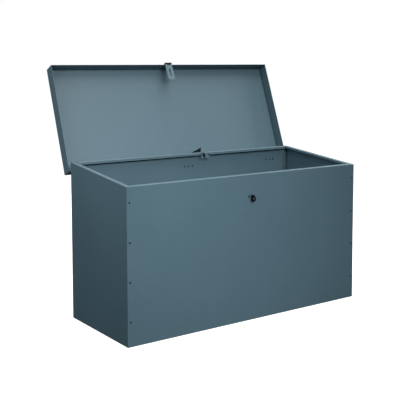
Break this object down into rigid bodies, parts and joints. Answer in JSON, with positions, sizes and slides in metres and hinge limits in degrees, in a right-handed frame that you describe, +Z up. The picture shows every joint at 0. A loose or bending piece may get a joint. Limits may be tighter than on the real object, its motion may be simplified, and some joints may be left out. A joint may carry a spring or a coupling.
{
  "type": "deck storage box",
  "caption": "Oblong sheet-steel storage chest with a sloping folded rim, a hinged pan lid held open by a slotted stay, and a swinging hasp that drops over a padlock staple.",
  "frame": {"origin": "on the ground at the middle of the chest's base", "axes": "+X to the right along the front, -Y out of the front, +Y to the hinged back, +Z up"},
  "size_m": [1.205, 0.7039, 1.0824],
  "materials": {
    "powder_coat": "satin blue-grey powder coat with a fine orange-peel texture",
    "painted_hardware": "satin blue-grey paint, slightly lighter and worn at the edges",
    "rivet_steel": "very dark blue-grey blind rivets and lid stay",
    "zinc_steel": "zinc-plated steel pins",
    "black_steel": "satin black steel"
  },
  "bodies": {
    "chest": {"back_panel": "powder_coat", "floor_panel": "powder_coat", "front_left_rivets": "rivet_steel", "front_panel": "powder_coat", "front_right_rivets": "rivet_steel", "left_hinge_body_leaf": "painted_hardware", "left_hinge_body_rivets": "rivet_steel", "left_hinge_pin": "zinc_steel", "left_side_panel": "powder_coat", "middle_hinge_body_leaf": "painted_hardware", "middle_hinge_body_rivets": "rivet_steel", "middle_hinge_pin": "zinc_steel", "padlock_staple": "black_steel", "rear_left_rivets": "rivet_steel", "rear_right_rivets": "rivet_steel", "right_hinge_body_leaf": "painted_hardware", "right_hinge_body_rivets": "rivet_steel", "right_hinge_pin": "zinc_steel", "right_side_panel": "powder_coat", "staple_rivets": "black_steel", "stay_guide": "painted_hardware", "stay_guide_rivets": "rivet_steel"},
    "lid": {"hasp_leaf": "painted_hardware", "hasp_lower_rivets": "rivet_steel", "hasp_upper_rivets": "rivet_steel", "left_hinge_lid_leaf": "painted_hardware", "left_hinge_lid_rivets": "rivet_steel", "lid_panel": "powder_coat", "lid_stay": "rivet_steel", "middle_hinge_lid_leaf": "painted_hardware", "middle_hinge_lid_rivets": "rivet_steel", "right_hinge_lid_leaf": "painted_hardware", "right_hinge_lid_rivets": "rivet_steel", "stay_stop_pin": "zinc_steel"},
    "hasp_pin": {"hasp_pin": "zinc_steel"},
    "hasp_strap": {"hasp_strap": "painted_hardware"}
  },
  "joints": [
    {"name": "lid_hinge", "type": "hinge", "parent": "chest", "child": "lid", "pos_m": [0, 0.2423, 0.6208], "axis": [1, 0, 0], "range_deg": [0, 116]},
    {"name": "hasp_follow", "type": "hinge", "parent": "lid", "child": "hasp_pin", "pos_m": [0, 0.39727, 1.07882], "axis": [1, 0, 0], "range_deg": [-116, 0]},
    {"name": "hasp_swing", "type": "hinge", "parent": "hasp_pin", "child": "hasp_strap", "pos_m": [0, 0.39727, 1.07882], "axis": [-1, 0, 0], "range_deg": [-24, 66]}
  ],
  "couplings": [
    {"joint": "hasp_follow", "follows": "lid_hinge", "ratio": -1}
  ]
}
